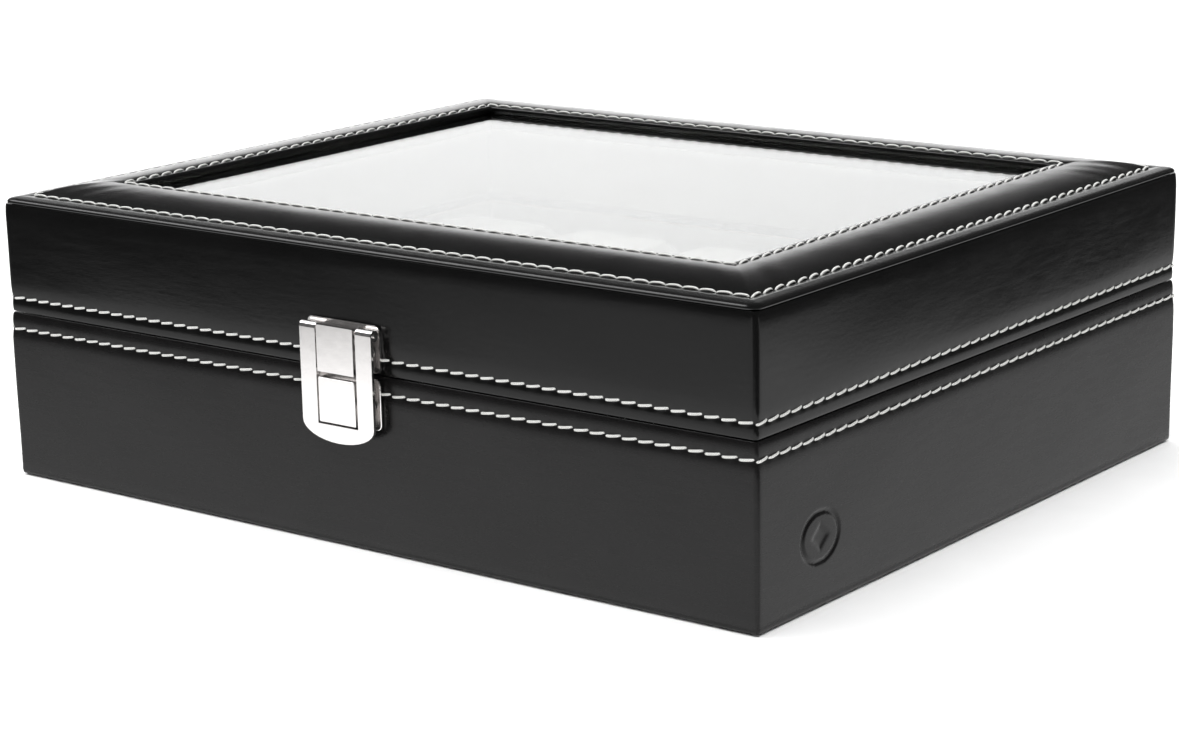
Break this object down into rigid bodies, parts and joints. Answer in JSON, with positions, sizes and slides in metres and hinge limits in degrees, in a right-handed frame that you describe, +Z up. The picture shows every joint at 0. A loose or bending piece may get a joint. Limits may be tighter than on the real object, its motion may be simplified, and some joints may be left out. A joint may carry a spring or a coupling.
{
  "type": "watch box",
  "caption": "Hinged leather-covered watch box with a glazed padded lid, a front flap latch and removable watch cushions between dividers.",
  "frame": {"origin": "centre of the underside, on the felt that the box stands on", "axes": "+X to the right along the front, +Y to the back where the hinges are, +Z up"},
  "size_m": [0.251, 0.2154, 0.0831],
  "materials": {
    "black_leather": "semi-gloss fine grain",
    "polished_metal": "polished nickel plate",
    "glass": "clear",
    "lining_suede": "matt suede cloth",
    "cushion_suede": "matt suede cloth",
    "thread": "waxed white thread",
    "board": "raw fibreboard",
    "felt": "matt felt"
  },
  "bodies": {
    "base": {"base_front_board": "board", "base_back_board": "board", "base_left_board": "board", "base_right_board": "board", "base_floor_board": "board", "base_leather_wrap": "black_leather", "base_lining": "lining_suede", "underside_felt": "felt", "divider_long": "lining_suede", "divider_cross_1": "lining_suede", "divider_cross_2": "lining_suede", "divider_cross_3": "lining_suede", "divider_cross_4": "lining_suede", "base_stitching": "thread", "latch_catch": "polished_metal", "latch_catch_nail_left": "polished_metal", "latch_catch_nail_right": "polished_metal", "hinge_base_leaf_left": "polished_metal", "hinge_pin_left": "polished_metal", "hinge_base_screw_left_1": "polished_metal", "hinge_base_screw_left_2": "polished_metal", "hinge_base_leaf_right": "polished_metal", "hinge_pin_right": "polished_metal", "hinge_base_screw_right_1": "polished_metal", "hinge_base_screw_right_2": "polished_metal"},
    "lid": {"lid_front_board": "board", "lid_back_board": "board", "lid_left_board": "board", "lid_right_board": "board", "lid_top_board": "board", "lid_leather_wrap": "black_leather", "lid_lining": "lining_suede", "glass_pane": "glass", "glass_bead": "board", "top_pad": "black_leather", "lid_stitching": "thread", "pad_outer_stitching": "thread", "pad_inner_stitching": "thread", "latch_lid_plate": "polished_metal", "latch_lid_nail_left": "polished_metal", "latch_lid_nail_right": "polished_metal", "latch_pin": "polished_metal", "hinge_lid_leaf_left": "polished_metal", "hinge_lid_screw_left_1": "polished_metal", "hinge_lid_screw_left_2": "polished_metal", "hinge_lid_leaf_right": "polished_metal", "hinge_lid_screw_right_1": "polished_metal", "hinge_lid_screw_right_2": "polished_metal"},
    "latch_flap": {"latch_flap": "polished_metal"},
    "cushion_front_1": {"cushion_front_1": "cushion_suede"},
    "cushion_front_2": {"cushion_front_2": "cushion_suede"},
    "cushion_front_3": {"cushion_front_3": "cushion_suede"},
    "cushion_front_4": {"cushion_front_4": "cushion_suede"},
    "cushion_front_5": {"cushion_front_5": "cushion_suede"},
    "cushion_back_1": {"cushion_back_1": "cushion_suede"},
    "cushion_back_2": {"cushion_back_2": "cushion_suede"},
    "cushion_back_3": {"cushion_back_3": "cushion_suede"},
    "cushion_back_4": {"cushion_back_4": "cushion_suede"},
    "cushion_back_5": {"cushion_back_5": "cushion_suede"}
  },
  "joints": [
    {"name": "lid_hinge", "type": "hinge", "parent": "base", "child": "lid", "pos_m": [0, 0.1059, 0.047], "axis": [-1, 0, 0], "range_deg": [0, 95]},
    {"name": "latch_hinge", "type": "hinge", "parent": "lid", "child": "latch_flap", "pos_m": [0, -0.1061, 0.0578], "axis": [-1, 0, 0], "range_deg": [0, 120]},
    {"name": "cushion_front_1_lift", "type": "slide", "parent": "base", "child": "cushion_front_1", "axis": [0, 0, 1], "range_m": [0, 0.02]},
    {"name": "cushion_front_2_lift", "type": "slide", "parent": "base", "child": "cushion_front_2", "axis": [0, 0, 1], "range_m": [0, 0.02]},
    {"name": "cushion_front_3_lift", "type": "slide", "parent": "base", "child": "cushion_front_3", "axis": [0, 0, 1], "range_m": [0, 0.02]},
    {"name": "cushion_front_4_lift", "type": "slide", "parent": "base", "child": "cushion_front_4", "axis": [0, 0, 1], "range_m": [0, 0.02]},
    {"name": "cushion_front_5_lift", "type": "slide", "parent": "base", "child": "cushion_front_5", "axis": [0, 0, 1], "range_m": [0, 0.02]},
    {"name": "cushion_back_1_lift", "type": "slide", "parent": "base", "child": "cushion_back_1", "axis": [0, 0, 1], "range_m": [0, 0.02]},
    {"name": "cushion_back_2_lift", "type": "slide", "parent": "base", "child": "cushion_back_2", "axis": [0, 0, 1], "range_m": [0, 0.02]},
    {"name": "cushion_back_3_lift", "type": "slide", "parent": "base", "child": "cushion_back_3", "axis": [0, 0, 1], "range_m": [0, 0.02]},
    {"name": "cushion_back_4_lift", "type": "slide", "parent": "base", "child": "cushion_back_4", "axis": [0, 0, 1], "range_m": [0, 0.02]},
    {"name": "cushion_back_5_lift", "type": "slide", "parent": "base", "child": "cushion_back_5", "axis": [0, 0, 1], "range_m": [0, 0.02]}
  ]
}
